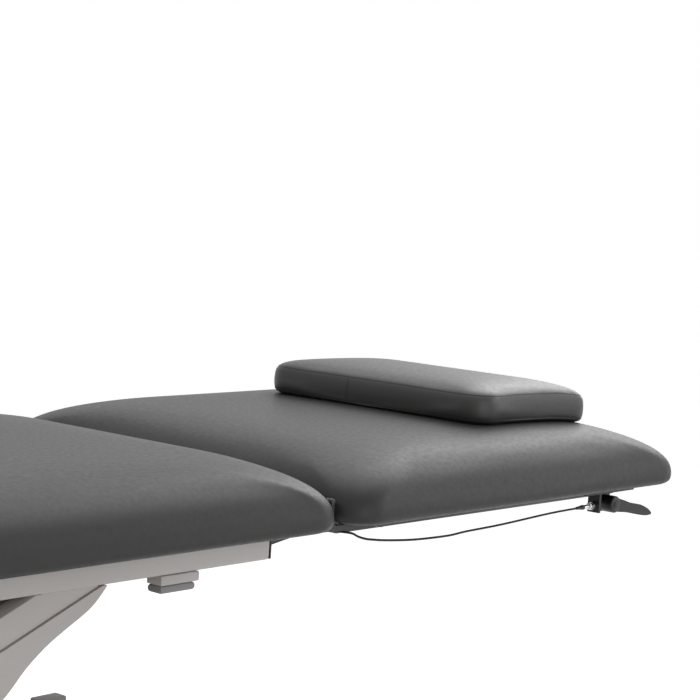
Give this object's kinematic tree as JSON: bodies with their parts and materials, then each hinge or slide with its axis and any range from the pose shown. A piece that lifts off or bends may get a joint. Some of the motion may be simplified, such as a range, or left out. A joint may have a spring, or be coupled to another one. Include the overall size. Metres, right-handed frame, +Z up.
{
  "type": "physiotherapy table",
  "caption": "Electric height-adjustable physiotherapy table with a long seat cushion, a hinged back section on a gas spring, a release lever and a loose pillow",
  "frame": {"origin": "floor under the middle of the table, half way along its length", "axes": "+X towards the head end, +Y to the far long side, +Z up"},
  "size_m": [1.9992, 0.6892, 0.8521],
  "materials": {
    "upholstery": "satin coated upholstery",
    "board": "plain ply",
    "taupe_paint": "satin powder coat",
    "black_paint": "satin powder coat",
    "grey_rubber": "matt",
    "black_plastic": "satin",
    "grey_plastic": "matt",
    "bright_steel": "ground"
  },
  "bodies": {
    "base": {"base_tube_near": "taupe_paint", "buffer_near": "grey_rubber", "foot_near_foot": "grey_rubber", "foot_near_head": "grey_rubber", "base_tube_far": "taupe_paint", "buffer_far": "grey_rubber", "foot_far_foot": "grey_rubber", "foot_far_head": "grey_rubber", "base_cross_foot": "taupe_paint", "base_cross_mid": "taupe_paint", "base_cross_head": "taupe_paint", "lower_axle_front": "bright_steel", "lower_axle_rear": "bright_steel", "control_box": "grey_plastic"},
    "front_arms": {"arm_front_near": "taupe_paint", "arm_front_far": "taupe_paint", "pivot_tube_front": "taupe_paint"},
    "rear_arms": {"arm_rear_near": "taupe_paint", "arm_rear_far": "taupe_paint", "pivot_tube_rear": "taupe_paint"},
    "upper_frame": {"seat_cushion": "upholstery", "seat_board": "board", "seat_rail_near": "taupe_paint", "stop_block_near": "taupe_paint", "truss_near": "taupe_paint", "pivot_gusset_near_front": "taupe_paint", "pivot_gusset_near_rear": "taupe_paint", "stop_rubber_near": "grey_rubber", "rail_cap_near_hinge": "black_plastic", "rail_cap_near_foot": "black_plastic", "seat_hinge_near": "black_paint", "seat_rail_far": "taupe_paint", "stop_block_far": "taupe_paint", "truss_far": "taupe_paint", "pivot_gusset_far_front": "taupe_paint", "pivot_gusset_far_rear": "taupe_paint", "stop_rubber_far": "grey_rubber", "rail_cap_far_hinge": "black_plastic", "rail_cap_far_foot": "black_plastic", "seat_hinge_far": "black_paint", "seat_cross_front": "black_paint", "seat_cross_mid": "black_paint", "seat_cross_rear": "taupe_paint"},
    "actuator_housing": {"actuator_housing": "grey_plastic"},
    "actuator_rod": {"actuator_rod": "bright_steel"},
    "back_section": {"back_tube_near": "black_paint", "back_hinge_near": "black_paint", "back_tube_far": "black_paint", "back_hinge_far": "black_paint", "back_cushion": "upholstery", "back_board": "board", "back_cross_hinge": "black_paint", "back_cross_head": "black_paint", "lever_bracket": "black_plastic", "release_cable": "black_plastic", "cable_adjuster": "bright_steel"},
    "gas_cylinder": {"gas_cylinder": "black_paint"},
    "gas_rod": {"gas_rod": "bright_steel"},
    "release_lever": {"release_lever": "black_plastic"},
    "pillow": {"pillow": "upholstery"}
  },
  "joints": [
    {"name": "lift", "type": "hinge", "parent": "base", "child": "front_arms", "pos_m": [-0.47464, 0, 0.105], "axis": [0, -1, 0], "range_deg": [-55, 15]},
    {"name": "rear_lift", "type": "hinge", "parent": "base", "child": "rear_arms", "pos_m": [-0.83464, 0, 0.105], "axis": [0, -1, 0], "range_deg": [-55, 15]},
    {"name": "top_level", "type": "hinge", "parent": "front_arms", "child": "upper_frame", "pos_m": [-0.346, 0, 0.52577], "axis": [0, -1, 0], "range_deg": [-15, 55]},
    {"name": "actuator_tilt", "type": "hinge", "parent": "base", "child": "actuator_housing", "pos_m": [-0.21541, 0, 0.12499], "axis": [0, -1, 0], "range_deg": [-27.5, 7.5]},
    {"name": "actuator_rod_tilt", "type": "hinge", "parent": "front_arms", "child": "actuator_rod", "pos_m": [-0.67205, 0, 0.2742], "axis": [0, -1, 0], "range_deg": [-7.5, 27.5]},
    {"name": "back_tilt", "type": "hinge", "parent": "upper_frame", "child": "back_section", "pos_m": [0.215, 0, 0.73577], "axis": [0, -1, 0], "range_deg": [0, 65]},
    {"name": "gas_cylinder_tilt", "type": "hinge", "parent": "upper_frame", "child": "gas_cylinder", "pos_m": [0.101, 0, 0.62377], "axis": [0, -1, 0], "range_deg": [0, 32.5]},
    {"name": "gas_rod_tilt", "type": "hinge", "parent": "back_section", "child": "gas_rod", "pos_m": [0.329, 0, 0.62377], "axis": [0, -1, 0], "range_deg": [-32.5, 0]},
    {"name": "release", "type": "hinge", "parent": "back_section", "child": "release_lever", "pos_m": [0.846, -0.308, 0.68087], "axis": [0, -1, 0], "range_deg": [0, 15], "stiffness_Nm_per_rad": 2},
    {"name": "pillow_lift", "type": "slide", "parent": "back_section", "child": "pillow", "axis": [0, 0, 1], "range_m": [0, 0.12]}
  ],
  "couplings": [
    {"joint": "rear_lift", "follows": "lift", "ratio": 1},
    {"joint": "top_level", "follows": "lift", "ratio": -1},
    {"joint": "actuator_tilt", "follows": "lift", "ratio": 0.5},
    {"joint": "actuator_rod_tilt", "follows": "lift", "ratio": -0.5},
    {"joint": "gas_cylinder_tilt", "follows": "back_tilt", "ratio": 0.5},
    {"joint": "gas_rod_tilt", "follows": "back_tilt", "ratio": -0.5}
  ]
}
